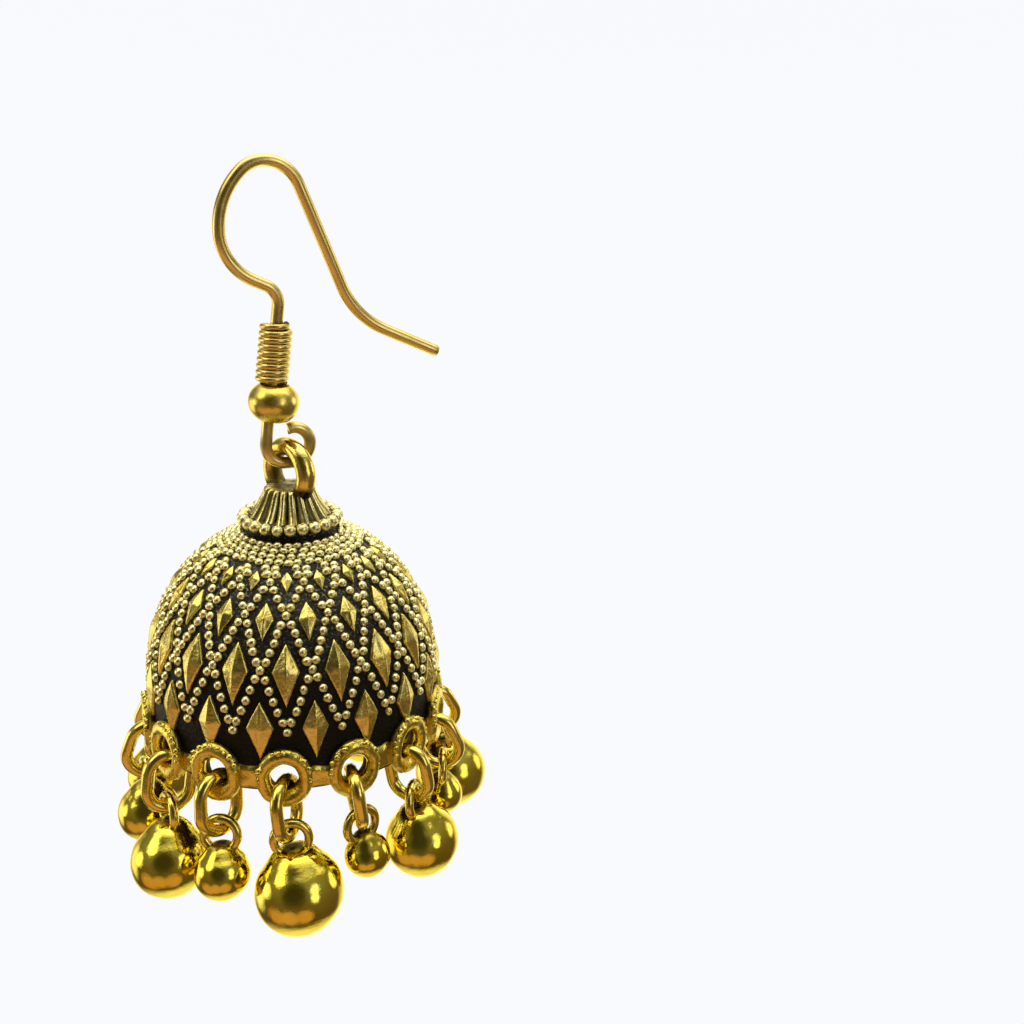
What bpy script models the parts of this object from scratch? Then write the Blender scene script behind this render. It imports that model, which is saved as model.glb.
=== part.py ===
# Jhumka earring: a French ear hook with a coil and a bead, and a hollow bell hanging from it,
# with fourteen polished balls on jump rings round its rim.
#
# The ear wire lies in the XZ plane and its arch rests in the ear at the origin, straight above the
# bell's axis. Heights of the bell are measured up from the edge of its rim. Angles round the bell
# start at its front, which faces -Y, and grow towards +X.

import math
from collections import namedtuple

import bmesh
import bpy
from mathutils import Matrix, Vector

MM = 0.001

# Ear wire: one round wire, bent from the end of its eye up to the tip of its tail
WIRE = 0.72 * MM
EYE_BEND = 1.15 * MM
EYE_FLAT = 0.4 * MM
RETURN_BEND = 1.0 * MM
RETURN_TURN = math.radians(110)
SHANK_LEAN = math.radians(7.1)
SHANK_LENGTH = 8.25 * MM
NECK_BEND = 1.1 * MM
NECK_TURN = math.radians(73.7)
NECK_RUN = 0.8 * MM
BACK_BEND = 3.0 * MM
BACK_TURN = math.radians(65)
SHOULDER_BEND = 4.5 * MM
SHOULDER_TURN = math.radians(46.7)
CROWN_BEND = 2.0 * MM
CROWN_TURN = math.radians(111.9)
LEG_LENGTH = 6.3 * MM
TAIL_BEND = 5.0 * MM
TAIL_TURN = math.radians(43.5)
TAIL_LENGTH = 3.8 * MM
BEND_STEP = math.radians(22)
STRAIGHT_STEP = 3.0 * MM

# Bead and coil on the shank
BEAD_DIAMETER = 3.05 * MM
BEAD_HEIGHT = 2.65 * MM
BEAD_HOLE = 1.7 * MM
BEAD_SHIFT = 0.25 * MM
BEAD_LIFT = 2.55 * MM
BEAD_SIDES = 12
BEAD_ARC_STEPS = 6
COIL_DIAMETER = 1.95 * MM
COIL_WIRE = 0.36 * MM
COIL_PITCH = 0.38 * MM
COIL_TURNS = 9
COIL_SIDES = 8
COIL_GAP = 0.05 * MM

# Bell: dome, cap and loop
DOME_RADIUS = 8.9 * MM
RIM_FLARE = 0.1 * MM
RIM_RADIUS = DOME_RADIUS + RIM_FLARE
DOME_RISE = 9.9 * MM
WALL_HEIGHT = 3.8 * MM
RIM_WALL = 0.45 * MM
CROWN_WALL = 0.8 * MM
BELL_SIDES = 36
OUTER_STEPS = 8
INNER_STEPS = 5
NECK_RADIUS = 2.3 * MM
NECK_LENGTH = 0.5 * MM
COLLAR_RADIUS = 2.75 * MM
COLLAR_HEIGHT = 0.34 * MM
CAP_SINK = 0.15 * MM
CAP_HEIGHT = 1.9 * MM
CAP_BASE_RADIUS = 2.62 * MM
CAP_TOP_RADIUS = 1.5 * MM
FLUTE_COUNT = 18
FLUTE_DEPTH = 0.25 * MM
PEARL_COUNT = 24
PEARL_DIAMETER = 0.7 * MM
PEARL_SINK = 0.22 * MM
PEARL_SIDES = 8
PEARL_RINGS = 4
LOOP_RADIUS = 1.6 * MM
LOOP_WIRE = 1.1 * MM
LOOP_SINK = 1.26 * MM
LOOP_TURN = math.radians(66)
LOOP_SIDES = 14
LOOP_WIRE_SIDES = 8
EYE_CLEARANCE = 0.1 * MM

# Four rows of raised diamonds, alternate rows staggered by half a step. The largest diamond has these
# sizes, and a row has its height as a share of the dome's and its sizes as shares of the largest's.
DIAMONDS_ROUND = 18
DIAMOND_PHASE = math.radians(2.5)
DIAMOND_WIDTH = 1.58 * MM
DIAMOND_LENGTH = 3.7 * MM
DIAMOND_RISE = 0.35 * MM
DIAMOND_SINK = 0.3 * MM
DiamondRow = namedtuple("DiamondRow", "height width length rise stagger")
DIAMOND_ROWS = (
    DiamondRow(0.293, 1.0, 1.0, 1.0, 0.5),
    DiamondRow(0.529, 1.0, 0.99, 1.0, 0.0),
    DiamondRow(0.726, 0.69, 0.62, 0.8, 0.5),
    DiamondRow(0.854, 0.44, 0.375, 0.63, 0.0),
)

# Rings cast on the rim, facing outward, each with a hole for a jump ring
RIM_RINGS = 14
RIM_PHASE = math.radians(-19.1)
RIM_RING_HOLE = 1.8 * MM
RIM_RING_WIRE = 0.7 * MM
RIM_RING_HEIGHT = 1.15 * MM
RIM_RING_PROUD = 0.17 * MM
RIM_RING_SIDES = 10
RIM_RING_WIRE_SIDES = 5
WALL_HOLE_MARGIN = 0.1 * MM
WALL_HOLE_DEPTH = 2.8 * MM

# Jump rings and balls
LINK_WIRE = 0.7 * MM
LINK_LENGTH = 4.1 * MM
LINK_WIDTH = 3.2 * MM
LINK_END_STEPS = 5
LINK_SLACK = 0.18 * MM
BALL_RING_DIAMETER = 2.6 * MM
BALL_RING_WIRE = 0.55 * MM
BALL_RING_SINK = 0.55 * MM
BALL_RING_SIDES = 10
BALL_RING_WIRE_SIDES = 5
BALL_RING_SLACK = 0.1 * MM
BALL_DIAMETER = 5.3 * MM
BIG_BALL_SIDES = 12
SMALL_BALL_SIDES = 10
SMALL_BALL_SHARE = 0.75

# One row for each ball, from the front one round towards +X, its size as a share of the largest's. Its
# jump ring leans out and along the rim, the ball below it leans by its own angles, and the jump ring
# and the ball's ring are turned.
Dangle = namedtuple("Dangle", "size link_out link_along ball_out ball_along link_turn ring_turn")
DANGLES = (
    Dangle(1.0, 5, 5, 6, 7, -20, 6),
    Dangle(0.53, 3, 7, 3, 9, -12, 12),
    Dangle(0.89, 10, 4, 5, 9, 10, 22),
    Dangle(0.53, 24, 1, -2, 5, 4, 10),
    Dangle(0.94, 28, 3, 10, 1, -6, 8),
    Dangle(0.58, 8, 2, 4, 2, 8, -8),
    Dangle(0.92, 6, 0, 7, 0, 14, 6),
    Dangle(0.6, 8, 1, 8, 0, -10, 12),
    Dangle(0.92, 6, 0, 7, 0, 12, -8),
    Dangle(0.58, 8, -1, 4, -2, -12, 10),
    Dangle(0.81, 26, -3, 2, -6, 6, -10),
    Dangle(0.73, 19, -1, 0, -4, -8, 8),
    Dangle(0.89, 12, 3, 5, 6, -22, -10),
    Dangle(0.62, 8, 5, 8, 5, -20, 14),
)


def clear_scene():
    """Remove every object of the open file."""
    for thing in list(bpy.data.objects):
        bpy.data.objects.remove(thing, do_unlink=True)


def new_collection(name):
    """Link a new collection to the scene."""
    collection = bpy.data.collections.new(name)
    bpy.context.scene.collection.children.link(collection)
    return collection


def metal(name, colour, roughness):
    """Make a Principled material of one metal."""
    material = bpy.data.materials.new(name)
    material.use_nodes = True
    shader = material.node_tree.nodes["Principled BSDF"]
    shader.inputs["Base Color"].default_value = (*colour, 1.0)
    shader.inputs["Metallic"].default_value = 1.0
    shader.inputs["Roughness"].default_value = roughness
    return material


def add_object(name, data, collection, parent, material):
    """Put a mesh or curve in the scene as one object."""
    thing = bpy.data.objects.new(name, data)
    collection.objects.link(thing)
    thing.parent = parent
    if material is not None:
        data.materials.append(material)
    return thing


def add_cutter(name, mesh, collection, parent):
    """Put a mesh that a Boolean uses in the scene, out of the picture."""
    thing = add_object(name, mesh, collection, parent, None)
    thing.hide_render = True
    thing.display_type = "WIRE"
    return thing


def boolean(target, cutter, operation):
    """Join a cutter to an object, or cut it away."""
    modifier = target.modifiers.new(cutter.name, "BOOLEAN")
    modifier.operation = operation
    modifier.solver = "EXACT"
    modifier.object = cutter


def smooth(mesh, angle=math.radians(35)):
    """Shade a round piece smooth, with its real edges sharp."""
    mesh.shade_smooth()
    mesh.set_sharp_from_angle(angle=angle)


def bent_path(start, heading, bends):
    """Follow straights (length, 0) and arcs (radius, turn) in the XZ plane; a left turn is positive."""
    points = [Vector(start)]
    for size, turn in bends:
        if turn == 0:
            steps = max(1, math.ceil(size / STRAIGHT_STEP))
            stride = size / steps
        else:
            steps = max(1, math.ceil(abs(turn) / BEND_STEP))
            stride = 2 * size * math.sin(abs(turn) / steps / 2)
        for _ in range(steps):
            heading += turn / steps / 2
            points.append(points[-1] + stride * Vector((math.cos(heading), 0, math.sin(heading))))
            heading += turn / steps / 2
    return points


def wire_curve(name, points, diameter, resolution, cyclic):
    """Make a round wire along a poly line."""
    curve = bpy.data.curves.new(name, "CURVE")
    curve.dimensions = "3D"
    curve.bevel_depth = diameter / 2
    curve.bevel_resolution = resolution
    curve.use_fill_caps = not cyclic
    spline = curve.splines.new("POLY")
    spline.points.add(len(points) - 1)
    for spot, point in zip(spline.points, points):
        spot.co = (*point, 1.0)
    spline.use_cyclic_u = cyclic
    spline.use_smooth = True
    return curve


def profile_mesh(name, profile, closed):
    """Make a mesh of edges from (radius, height) pairs, for a Screw modifier."""
    mesh = bpy.data.meshes.new(name)
    edges = [(i, i + 1) for i in range(len(profile) - 1)]
    if closed:
        edges.append((len(profile) - 1, 0))
    mesh.from_pydata([(radius, 0, height) for radius, height in profile], edges, [])
    return mesh


def turn_profile(thing, sides):
    """Turn an object's profile round its Z axis."""
    screw = thing.modifiers.new("turned", "SCREW")
    screw.axis = "Z"
    screw.steps = sides
    screw.render_steps = sides
    screw.use_merge_vertices = True
    screw.merge_threshold = 0.001 * MM
    screw.use_smooth_shade = True


def torus_mesh(name, radius, wire, sides, wire_sides):
    """Make a ring whose axis is Z and whose first corner lies at +X."""
    bpy.ops.mesh.primitive_torus_add(
        major_radius=radius, minor_radius=wire / 2, major_segments=sides, minor_segments=wire_sides)
    thing = bpy.context.object
    mesh = thing.data
    mesh.name = name
    bpy.data.objects.remove(thing, do_unlink=True)
    return mesh


def ball_mesh(name, diameter, sides, rings):
    """Make a round ball about the origin."""
    mesh = bpy.data.meshes.new(name)
    shape = bmesh.new()
    bmesh.ops.create_uvsphere(shape, u_segments=sides, v_segments=rings, radius=diameter / 2)
    shape.to_mesh(mesh)
    shape.free()
    return mesh


def cylinder_mesh(name, diameter, length, sides):
    """Make a closed cylinder along Z about the origin."""
    mesh = bpy.data.meshes.new(name)
    shape = bmesh.new()
    bmesh.ops.create_cone(shape, cap_ends=True, segments=sides, radius1=diameter / 2,
                          radius2=diameter / 2, depth=length)
    shape.to_mesh(mesh)
    shape.free()
    return mesh


def merged_mesh(name, copies):
    """Join (mesh, matrix) pairs into one mesh."""
    merged = bpy.data.meshes.new(name)
    shape = bmesh.new()
    for mesh, matrix in copies:
        piece = mesh.copy()
        piece.transform(matrix)
        shape.from_mesh(piece)
        bpy.data.meshes.remove(piece)
    shape.to_mesh(merged)
    shape.free()
    return merged


def hook_path():
    """Bend the ear wire upward from the bottom of its eye at the origin; its eye end comes first."""
    half = Vector((EYE_FLAT / 2, 0, 0))
    eye_end = bent_path(half, 0, [(EYE_BEND, math.pi / 2), (RETURN_BEND, RETURN_TURN)])
    tail = bent_path(-half, math.pi, [
        (EYE_BEND, -math.pi / 2 - SHANK_LEAN), (SHANK_LENGTH, 0), (NECK_BEND, NECK_TURN),
        (NECK_RUN, 0), (BACK_BEND, -BACK_TURN), (SHOULDER_BEND, -SHOULDER_TURN),
        (CROWN_BEND, -CROWN_TURN), (LEG_LENGTH, 0), (TAIL_BEND, TAIL_TURN), (TAIL_LENGTH, 0)])
    return eye_end[::-1] + tail


def arch_height(path):
    """Height above the eye of the inner side of the arch, on the bell's axis."""
    heights = []
    for start, end in zip(path, path[1:]):
        if start.x != end.x and min(start.x, end.x) <= 0 < max(start.x, end.x):
            share = -start.x / (end.x - start.x)
            slope = math.atan2(end.z - start.z, end.x - start.x)
            heights.append(start.z + share * (end.z - start.z) - WIRE / 2 / abs(math.cos(slope)))
    return max(heights)


def shank_point(distance):
    """A point on the shank's centre line, this far above its start at the eye."""
    start = bent_path((-EYE_FLAT / 2, 0, 0), math.pi, [(EYE_BEND, -math.pi / 2 - SHANK_LEAN)])[-1]
    return start + distance * Vector((math.sin(SHANK_LEAN), 0, math.cos(SHANK_LEAN)))


def build_hook(collection, eye_bottom, gold):
    """Bend the ear wire and thread its bead and coil on the shank."""
    hook = bpy.data.objects.new("hook_frame", None)
    collection.objects.link(hook)
    hook.location = eye_bottom

    wire = wire_curve("hook_wire", hook_path(), WIRE, 2, False)
    add_object("hook_wire", wire, collection, hook, gold)

    lean = Matrix.Rotation(SHANK_LEAN, 4, "Y")
    half_height = BEAD_HEIGHT / 2
    hole = BEAD_HOLE / 2
    reach = math.acos(hole / (BEAD_DIAMETER / 2))
    arc = [reach - 2 * reach * i / BEAD_ARC_STEPS for i in range(BEAD_ARC_STEPS + 1)]
    profile = [(BEAD_DIAMETER / 2 * math.cos(a), half_height * math.sin(a)) for a in arc]
    bead = add_object("hook_bead", profile_mesh("hook_bead", profile, True), collection, hook, gold)
    turn_profile(bead, BEAD_SIDES)
    bead.matrix_basis = Matrix.Translation(shank_point(BEAD_LIFT)) @ lean @ Matrix.Translation(
        (BEAD_SHIFT, 0, 0))

    circle = (COIL_DIAMETER - COIL_WIRE) / 2
    count = COIL_TURNS * COIL_SIDES
    helix = []
    for i in range(count + 1):
        angle = 2 * math.pi * i / COIL_SIDES
        helix.append((circle * math.cos(angle), circle * math.sin(angle), COIL_PITCH * i / COIL_SIDES))
    coil = add_object("hook_coil", wire_curve("hook_coil", helix, COIL_WIRE, 1, False),
                      collection, hook, gold)
    bead_top = BEAD_LIFT + half_height * math.sin(reach)
    coil.matrix_basis = Matrix.Translation(
        shank_point(bead_top + COIL_GAP + COIL_WIRE / 2)) @ lean


def dome_radius(height):
    """Radius of the dome's outer side at a height."""
    if height <= WALL_HEIGHT:
        return DOME_RADIUS + RIM_FLARE * (1 - height / WALL_HEIGHT)
    share = (height - WALL_HEIGHT) / DOME_RISE
    return DOME_RADIUS * math.sqrt(1 - share * share)


def dome_height(radius):
    """Height of the dome's outer side at a radius."""
    return WALL_HEIGHT + DOME_RISE * math.sqrt(1 - (radius / DOME_RADIUS) ** 2)


def collar_bottom():
    """Height of the collar, on the neck that stands on the dome."""
    return dome_height(NECK_RADIUS) + NECK_LENGTH


def cap_base():
    """Height of the cap's foot, sunk in the collar."""
    return collar_bottom() + COLLAR_HEIGHT - CAP_SINK


def loop_height():
    """Height of the loop's centre, with the loop sunk in the cap."""
    return cap_base() + CAP_HEIGHT + LOOP_RADIUS + LOOP_WIRE / 2 - LOOP_SINK


def bell_profile():
    """Outer side from the collar down to the rim, then the inner side up to the axis."""
    bottom = collar_bottom()
    top = bottom + COLLAR_HEIGHT
    profile = [(0, top), (COLLAR_RADIUS, top), (COLLAR_RADIUS, bottom), (NECK_RADIUS, bottom),
               (NECK_RADIUS, dome_height(NECK_RADIUS))]
    start = math.asin(NECK_RADIUS / DOME_RADIUS)
    for i in range(1, OUTER_STEPS + 1):
        angle = start + (math.pi / 2 - start) * i / OUTER_STEPS
        profile.append((DOME_RADIUS * math.sin(angle), WALL_HEIGHT + DOME_RISE * math.cos(angle)))
    profile.append((RIM_RADIUS, 0))
    profile.append((RIM_RADIUS - RIM_WALL, 0))
    for i in range(INNER_STEPS + 1):
        angle = math.pi / 2 * (1 - i / INNER_STEPS)
        radius = (DOME_RADIUS - RIM_WALL) * math.sin(angle) if i < INNER_STEPS else 0
        profile.append((radius, WALL_HEIGHT + (DOME_RISE - CROWN_WALL) * math.cos(angle)))
    return profile


def cap_mesh():
    """Make the fluted cone: every other corner is drawn in as a groove."""
    mesh = bpy.data.meshes.new("cap")
    shape = bmesh.new()
    bmesh.ops.create_cone(shape, cap_ends=True, segments=2 * FLUTE_COUNT, radius1=CAP_BASE_RADIUS,
                          radius2=CAP_TOP_RADIUS, depth=CAP_HEIGHT)
    for vertex in shape.verts:
        corner = round(math.atan2(vertex.co.y, vertex.co.x) * FLUTE_COUNT / math.pi)
        if corner % 2:
            radius = vertex.co.xy.length
            share = radius / CAP_BASE_RADIUS
            vertex.co.xy *= 1 - FLUTE_DEPTH * share / radius
    bmesh.ops.translate(shape, verts=shape.verts, vec=(0, 0, cap_base() + CAP_HEIGHT / 2))
    shape.to_mesh(mesh)
    shape.free()
    return mesh


def diamond_mesh(row):
    """Make one raised diamond: a rhombic skirt under a four-sided pyramid, facing +Z."""
    mesh = bpy.data.meshes.new("diamond")
    shape = bmesh.new()
    bmesh.ops.create_cone(shape, cap_ends=True, segments=4, radius1=1, radius2=1, depth=1)
    width = row.width * DIAMOND_WIDTH
    length = row.length * DIAMOND_LENGTH
    bmesh.ops.scale(shape, verts=shape.verts, vec=(width / 2, length / 2, DIAMOND_SINK))
    bmesh.ops.translate(shape, verts=shape.verts, vec=(0, 0, -DIAMOND_SINK / 2))
    top = [face for face in shape.faces if face.normal.z > 0.5]
    apex = bmesh.ops.poke(shape, faces=top)["verts"]
    bmesh.ops.translate(shape, verts=apex, vec=(0, 0, row.rise * DIAMOND_RISE))
    shape.to_mesh(mesh)
    shape.free()
    return mesh


def on_dome(angle, height):
    """Matrix of a place on the dome: X along the rim, Y up the dome, Z straight out of it."""
    radius = dome_radius(height)
    slope = max(0.0, height - WALL_HEIGHT) * DOME_RADIUS ** 2 / (radius * DOME_RISE ** 2)
    out = Vector((math.sin(angle), -math.cos(angle), slope)).normalized()
    along = Vector((math.cos(angle), math.sin(angle), 0))
    up = out.cross(along)
    matrix = Matrix((along, up, out)).transposed().to_4x4()
    matrix.translation = (radius * math.sin(angle), -radius * math.cos(angle), height)
    return matrix


def rim_ring_radius():
    """Centre line of a rim ring."""
    return (RIM_RING_HOLE + RIM_RING_WIRE) / 2


def rim_ring_matrix(index):
    """Matrix of a rim ring: X along the rim, -Y straight out, Z up."""
    angle = RIM_PHASE + 2 * math.pi * index / RIM_RINGS
    place = Matrix.Rotation(angle, 4, "Z")
    return place @ Matrix.Translation((0, -(RIM_RADIUS + RIM_RING_PROUD), RIM_RING_HEIGHT))


def build_bell(collection, cutters, drop, below, antique):
    """Turn the hollow dome and fuse its cap, pearls, diamonds, rim rings and loop to it."""
    bell = add_object("bell", profile_mesh("bell", bell_profile(), False), collection, drop, antique)
    bell.location = below
    bell.rotation_euler.z = DIAMOND_PHASE + math.pi / BELL_SIDES
    turn_profile(bell, BELL_SIDES)

    pearl = ball_mesh("pearl", PEARL_DIAMETER, PEARL_SIDES, PEARL_RINGS)
    pearl_spot = Matrix.Translation((
        0, -(COLLAR_RADIUS + PEARL_DIAMETER / 2 - PEARL_SINK), collar_bottom() + COLLAR_HEIGHT / 2))
    pearls = []
    for i in range(PEARL_COUNT):
        place = Matrix.Rotation(2 * math.pi * i / PEARL_COUNT, 4, "Z")
        pearls.append((pearl, place @ pearl_spot))

    diamonds = []
    for row in DIAMOND_ROWS:
        diamond = diamond_mesh(row)
        for i in range(DIAMONDS_ROUND):
            angle = DIAMOND_PHASE + 2 * math.pi * (i + row.stagger) / DIAMONDS_ROUND
            diamonds.append((diamond, on_dome(angle, row.height * (WALL_HEIGHT + DOME_RISE))))

    upright = Matrix.Rotation(math.pi / 2, 4, "X") @ Matrix.Rotation(math.pi / 2, 4, "Z")
    ring = torus_mesh("rim_ring", rim_ring_radius(), RIM_RING_WIRE, RIM_RING_SIDES,
                      RIM_RING_WIRE_SIDES)
    hole = cylinder_mesh("rim_hole", RIM_RING_HOLE + 2 * WALL_HOLE_MARGIN, WALL_HOLE_DEPTH,
                         RIM_RING_SIDES)
    rings = [(ring, rim_ring_matrix(i) @ upright) for i in range(RIM_RINGS)]
    holes = [(hole, rim_ring_matrix(i) @ upright) for i in range(RIM_RINGS)]

    loop = torus_mesh("loop", LOOP_RADIUS, LOOP_WIRE, LOOP_SIDES, LOOP_WIRE_SIDES)
    loop_place = Matrix.Translation((0, 0, loop_height())) @ Matrix.Rotation(-LOOP_TURN, 4, "Z")

    pieces = (
        ("bell_cap", cap_mesh(), "UNION"),
        ("bell_pearls", merged_mesh("bell_pearls", pearls), "UNION"),
        ("bell_diamonds", merged_mesh("bell_diamonds", diamonds), "UNION"),
        ("bell_rim_holes", merged_mesh("bell_rim_holes", holes), "DIFFERENCE"),
        ("bell_rim_rings", merged_mesh("bell_rim_rings", rings), "UNION"),
        ("bell_loop", merged_mesh("bell_loop", [(loop, loop_place @ upright)]), "UNION"),
    )
    for name, mesh, operation in pieces:
        cutter = add_cutter(name, mesh, cutters, drop)
        cutter.location = below
        boolean(bell, cutter, operation)


def link_points():
    """Centre line of a jump ring in the YZ plane, its top at the origin."""
    end = (LINK_WIDTH - LINK_WIRE) / 2
    length = LINK_LENGTH - LINK_WIRE
    points = []
    for centre, start in ((-end, 0), (end - length, math.pi)):
        for i in range(LINK_END_STEPS + 1):
            angle = start + math.pi * i / LINK_END_STEPS
            points.append((0, end * math.cos(angle), centre + end * math.sin(angle)))
    return points


def leaning(out, along):
    """Matrix of a piece that leans out from the rim and along it, by angles in degrees."""
    return Matrix.Rotation(-math.radians(out), 4, "X") @ Matrix.Rotation(-math.radians(along), 4, "Y")


def build_dangles(collection, cutters, drop, below, polished):
    """Hang a jump ring and a ball from each rim ring."""
    inset = (RIM_RING_PROUD + RIM_WALL - RIM_RING_WIRE / 2) / 2
    seat = Matrix.Translation((0, inset, -rim_ring_radius()))
    link_top = RIM_RING_WIRE / 2 + LINK_SLACK + LINK_WIRE / 2
    joint = link_top - (LINK_LENGTH - LINK_WIRE) + LINK_WIRE / 2 + BALL_RING_SLACK + (
        BALL_RING_WIRE / 2)
    ring_radius = (BALL_RING_DIAMETER - BALL_RING_WIRE) / 2
    ball_top = -ring_radius - BALL_RING_DIAMETER / 2 + BALL_RING_SINK
    upright = Matrix.Rotation(math.pi / 2, 4, "X") @ Matrix.Rotation(math.pi / 2, 4, "Z")
    for index, dangle in enumerate(DANGLES):
        hang = Matrix.Translation(below) @ rim_ring_matrix(index) @ seat
        link_lean = leaning(dangle.link_out, dangle.link_along)
        name = f"link_{index:02d}"
        link = add_object(name, wire_curve(name, link_points(), LINK_WIRE, 1, True),
                          collection, drop, polished)
        link.matrix_basis = hang @ link_lean @ Matrix.Translation((0, 0, link_top)) @ (
            Matrix.Rotation(math.radians(dangle.link_turn), 4, "Z"))

        name = f"ball_{index:02d}"
        diameter = dangle.size * BALL_DIAMETER
        sides = SMALL_BALL_SIDES if dangle.size < SMALL_BALL_SHARE else BIG_BALL_SIDES
        mesh = ball_mesh(name, diameter, sides, sides // 2 + 1)
        mesh.transform(Matrix.Translation((0, 0, ball_top - diameter / 2)))
        smooth(mesh)
        ball = add_object(name, mesh, collection, drop, polished)
        ball.matrix_basis = hang @ Matrix.Translation(link_lean @ Vector((0, 0, joint))) @ (
            leaning(dangle.ball_out, dangle.ball_along)) @ (
            Matrix.Rotation(math.radians(dangle.ring_turn), 4, "Z"))
        ring = torus_mesh(name + "_ring", ring_radius, BALL_RING_WIRE, BALL_RING_SIDES,
                          BALL_RING_WIRE_SIDES)
        ring.transform(Matrix.Translation((0, 0, -ring_radius)) @ upright)
        cutter = add_cutter(name + "_ring", ring, cutters, drop)
        cutter.matrix_basis = ball.matrix_basis
        boolean(ball, cutter, "UNION")


def main():
    """Build the whole earring."""
    clear_scene()
    collection = new_collection("jhumka_earring")
    cutters = new_collection("cutters")
    hook_gold = metal("hook_gold", (0.72, 0.50, 0.16), 0.28)
    antique_gold = metal("antique_gold", (0.55, 0.42, 0.16), 0.42)
    polished_gold = metal("polished_gold", (0.80, 0.60, 0.14), 0.16)

    eye_bottom = Vector((0, 0, -arch_height(hook_path())))
    build_hook(collection, eye_bottom, hook_gold)

    drop = bpy.data.objects.new("bell_drop", None)
    collection.objects.link(drop)
    drop.location = eye_bottom
    loop_rest = loop_height() + LOOP_RADIUS - LOOP_WIRE / 2 - WIRE / 2 - EYE_CLEARANCE
    below = Vector((0, 0, -loop_rest))
    build_bell(collection, cutters, drop, below, antique_gold)
    build_dangles(collection, cutters, drop, below, polished_gold)


main()
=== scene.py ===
# Looks of the jhumka earring: an oxidised gold bell with diamonds and granules on a French ear hook,
# with polished balls on jump rings round its rim. Lengths are in metres; MM turns millimetres into them.

import math

import bmesh
import bpy
import numpy as np
from mathutils import Matrix, Vector, noise


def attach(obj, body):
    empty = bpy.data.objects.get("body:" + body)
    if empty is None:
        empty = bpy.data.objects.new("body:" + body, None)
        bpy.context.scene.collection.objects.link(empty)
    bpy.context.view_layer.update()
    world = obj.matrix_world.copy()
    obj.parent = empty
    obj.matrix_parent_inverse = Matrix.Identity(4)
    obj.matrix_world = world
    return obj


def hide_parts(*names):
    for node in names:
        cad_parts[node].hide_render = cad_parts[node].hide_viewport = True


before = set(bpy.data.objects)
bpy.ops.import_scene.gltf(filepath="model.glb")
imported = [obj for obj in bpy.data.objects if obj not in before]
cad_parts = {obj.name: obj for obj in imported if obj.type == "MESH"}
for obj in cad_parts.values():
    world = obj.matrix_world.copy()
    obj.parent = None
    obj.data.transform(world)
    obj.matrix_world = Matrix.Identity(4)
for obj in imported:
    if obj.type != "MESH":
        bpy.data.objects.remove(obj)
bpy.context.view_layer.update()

MM = 0.001
TAU = 2 * math.pi
RANDOM = np.random.default_rng(7)
# Where the smooth noise is read for each axis, so that the three differ
NOISE_SHIFTS = (Vector((0.0, 0.0, 0.0)), Vector((37.3, 11.9, 5.1)), Vector((-23.7, 41.3, 17.9)))

# Ear wire, as in the solids: a bend is (radius, degrees) and a straight is (length, 0)
EYE_HEIGHT = -16.9381 * MM
WIRE = 0.72 * MM
WIRE_SIDES = 18
SHANK_DEGREES = 7.1
SHANK_LEAN = math.radians(SHANK_DEGREES)
EYE_BEND = 1.15 * MM
EYE_FLAT = 0.4 * MM
EYE_BENDS = ((EYE_BEND, 90), (1.0 * MM, 110))
TAIL_BENDS = (
    (EYE_BEND, -90 - SHANK_DEGREES), (8.25 * MM, 0), (1.1 * MM, 73.7), (0.8 * MM, 0), (3.0 * MM, -65),
    (4.5 * MM, -46.7), (2.0 * MM, -111.9), (6.3 * MM, 0), (5.0 * MM, 43.5), (3.8 * MM, 0))
BEND_STEP = math.radians(4)
STRAIGHT_STEP = 0.4 * MM
# A rounded end of a wire: steps inward in radii, each with its width as a share
WIRE_END = ((0.0, 0.72), (0.1, 0.93), (0.35, 1.0))
# A direction that no wire here follows
SKEW = (0.31, 0.87, 0.38)
# Painted shade darkens the wire between these heights, under the bead
UNDER_BEAD_SHADE = 0.45
UNDER_BEAD_SHADE_TOP = -14.75 * MM
UNDER_BEAD_SHADE_FOOT = -16.4 * MM

# Bead and coil on the shank; the lip of the bead's hole goes in and down
BEAD_CENTRE = Vector((-0.778, 0, -13.1464)) * MM
BEAD_RADIUS = 1.525 * MM
BEAD_HALF = 1.325 * MM
BEAD_HOLE = 0.85 * MM
BEAD_LIP = ((0.06 * MM, 0.05 * MM), (0.1 * MM, 0.3 * MM))
BEAD_SIDES = 64
BEAD_STEPS = 30
COIL_START = Vector((-0.8616, 0, -11.7956)) * MM
COIL_CIRCLE = 0.795 * MM
COIL_WIRE = 0.36 * MM
COIL_SWELL = 0.012 * MM
COIL_PITCH = 0.38 * MM
COIL_TURNS = 9
COIL_STEPS = 36
COIL_SHIFT = -0.14 * MM
# The end of the coil's last turn curls in to the shank
CURL_TURNS = 0.55
CURL_IN = 0.33 * MM
CURL_UP = 0.12 * MM
CURL_RATE = 1.6
CURL_POWER = 1.5

# Bell, with heights up from the edge of its rim
BELL = Vector((0, 0, -34.3718)) * MM
RIM_RADIUS = 9.0 * MM
RIM_WALL = 0.45 * MM
RIM_FOOT = 0.2 * MM
RIM_CHAMFER = 0.08 * MM
DOME_RADIUS = 8.9 * MM
DOME_RISE = 9.9 * MM
WALL_HEIGHT = 3.8 * MM
CROWN_WALL = 0.8 * MM
CROWN_BORE = 0.4 * MM
BORE_DEPTH = 0.6 * MM
BORE_ANGLE = 0.02
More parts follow.
